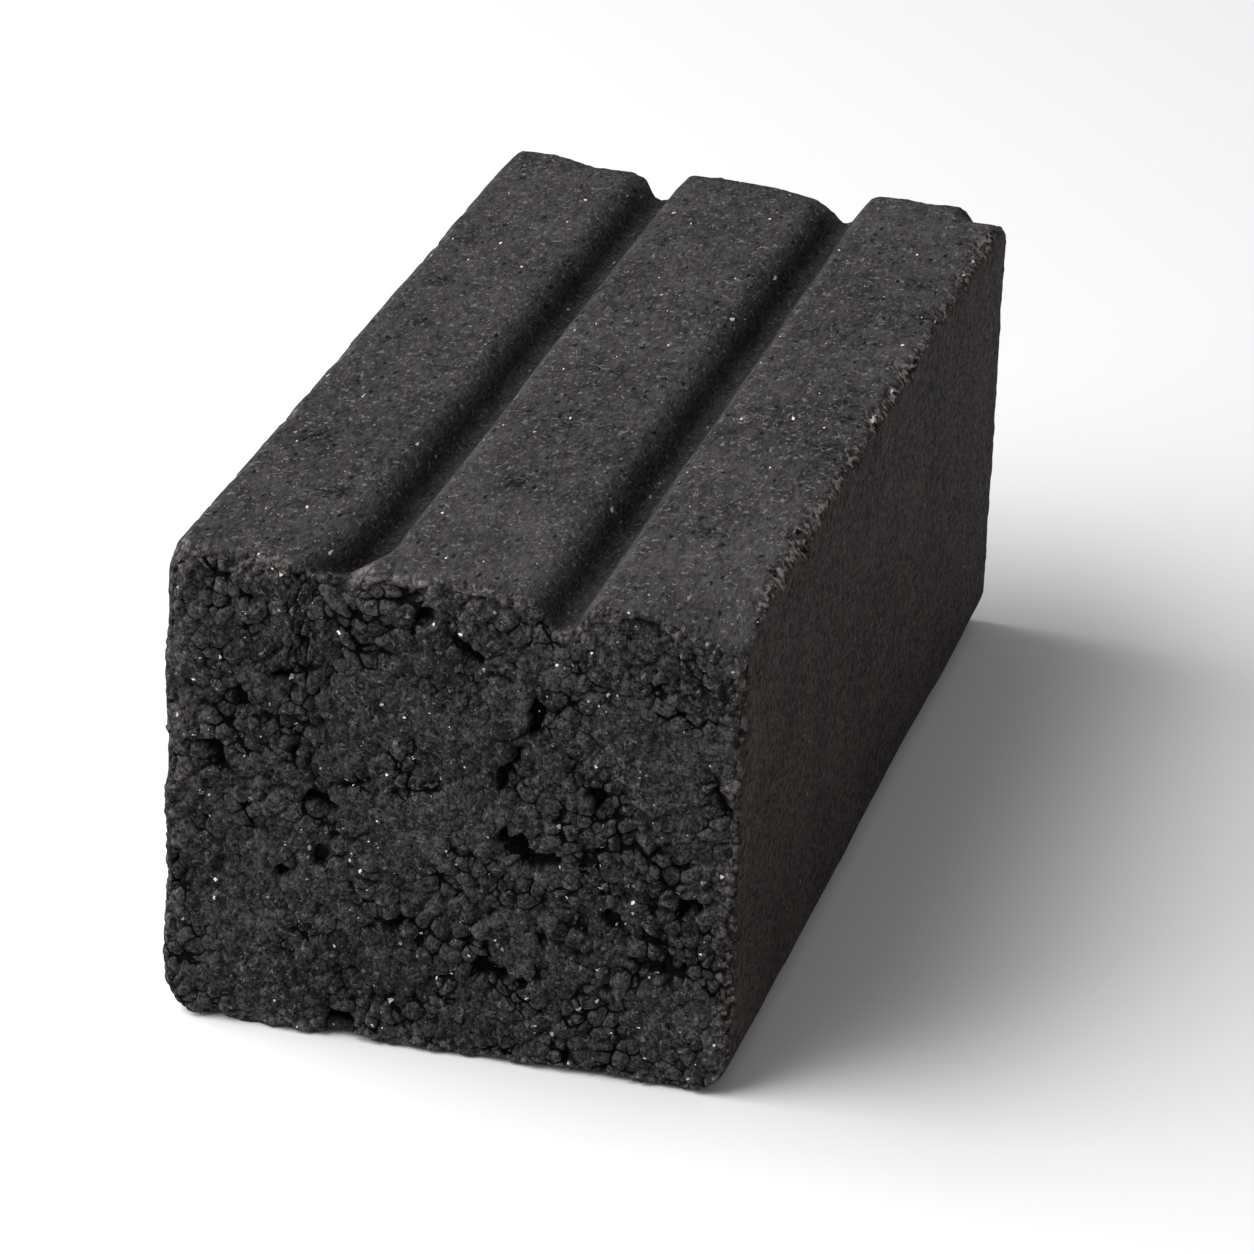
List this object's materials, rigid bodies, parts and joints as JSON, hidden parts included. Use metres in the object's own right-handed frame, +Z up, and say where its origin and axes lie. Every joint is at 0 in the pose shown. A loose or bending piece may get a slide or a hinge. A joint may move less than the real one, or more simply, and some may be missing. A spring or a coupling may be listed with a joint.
{
  "type": "pressed brick",
  "caption": "Dark pressed brick with rounded lengthwise grooves in its top face, rounded long edges and rough, broken ends.",
  "frame": {"origin": "centre of the bed face that the brick lies on", "axes": "+Z up, +Y along the brick's length and its grooves, +X across its width"},
  "size_m": [0.09, 0.19, 0.078],
  "materials": {
    "brick_body": "matte"
  },
  "bodies": {
    "root": {"brick": "brick_body"}
  },
  "joints": []
}
